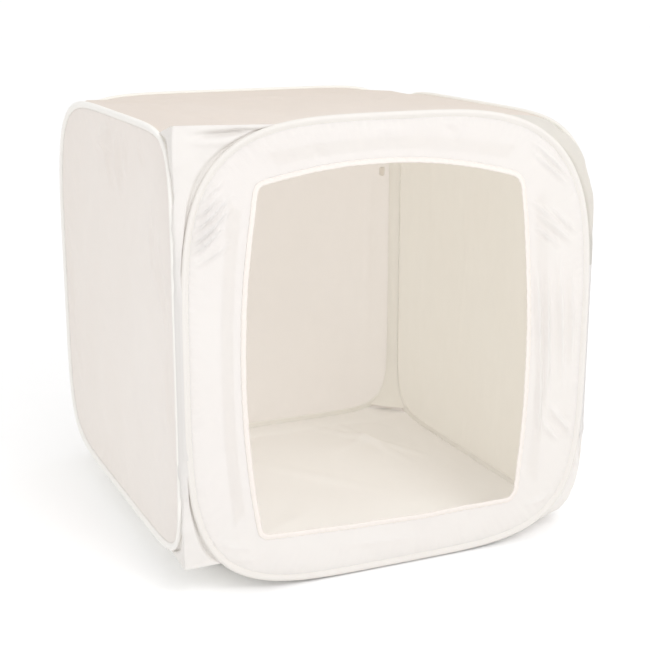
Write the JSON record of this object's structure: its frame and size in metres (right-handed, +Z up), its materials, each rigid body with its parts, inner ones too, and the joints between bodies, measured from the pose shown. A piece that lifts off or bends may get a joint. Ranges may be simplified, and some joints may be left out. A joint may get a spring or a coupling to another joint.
{
  "type": "light tent cube",
  "caption": "Free-standing white cloth cube on four spring-steel hoops, with an open front, for soft light on small products; folds flat at its upright edges.",
  "frame": {"origin": "on the ground, under the middle of the tent: the centre of the floor cloth's underside", "axes": "+Z up; the open front faces -Y; the tent's left side, as seen from the front, is at -X"},
  "size_m": [0.6188, 0.6167, 0.626],
  "materials": {
    "cloth": "thin white nylon, plain weave, translucent",
    "binding": "folded white binding tape, stitched",
    "spring_steel": "hard-drawn round spring wire",
    "ferrule": "crimped tube",
    "hook_tape": "woven hook and loop tape"
  },
  "bodies": {
    "back": {"back_hoop_wire": "spring_steel", "back_ferrule": "ferrule", "back_binding": "binding", "back_panel": "cloth", "backdrop_tab_left": "hook_tape", "backdrop_tab_right": "hook_tape", "top_panel": "cloth", "floor_panel": "cloth", "floor_margin": "cloth", "back_left_seam": "binding", "back_left_top_gusset": "cloth", "back_left_bottom_gusset": "cloth", "back_right_seam": "binding", "back_right_top_gusset": "cloth", "back_right_bottom_gusset": "cloth"},
    "left": {"left_hoop_wire": "spring_steel", "left_ferrule": "ferrule", "left_binding": "binding", "left_panel": "cloth", "front_left_seam": "binding", "front_left_top_gusset": "cloth", "front_left_bottom_gusset": "cloth"},
    "right": {"right_hoop_wire": "spring_steel", "right_ferrule": "ferrule", "right_binding": "binding", "right_panel": "cloth", "front_right_seam": "binding", "front_right_top_gusset": "cloth", "front_right_bottom_gusset": "cloth"},
    "front": {"front_hoop_wire": "spring_steel", "front_ferrule": "ferrule", "front_binding": "binding", "front_border": "cloth", "opening_hem": "binding", "cover_tape_top": "hook_tape", "cover_tape_left": "hook_tape", "cover_tape_right": "hook_tape"}
  },
  "joints": [
    {"name": "back_left_fold", "type": "hinge", "parent": "back", "child": "left", "pos_m": [-0.3, 0.3, 0], "axis": [0, 0, 1], "range_deg": [0, 88], "deforming": ["top_panel", "floor_margin", "back_left_top_gusset", "back_left_bottom_gusset"]},
    {"name": "back_right_fold", "type": "hinge", "parent": "back", "child": "right", "pos_m": [0.3, 0.3, 0], "axis": [0, 0, 1], "range_deg": [0, 88], "deforming": ["back_right_top_gusset", "back_right_bottom_gusset", "front_right_top_gusset", "front_right_bottom_gusset"]},
    {"name": "front_left_fold", "type": "hinge", "parent": "left", "child": "front", "pos_m": [-0.3, -0.3, 0], "axis": [0, 0, 1], "range_deg": [-88, 0], "deforming": ["front_left_top_gusset", "front_left_bottom_gusset"]}
  ],
  "couplings": [
    {"joint": "back_right_fold", "follows": "back_left_fold", "ratio": 1},
    {"joint": "front_left_fold", "follows": "back_left_fold", "ratio": -1}
  ]
}
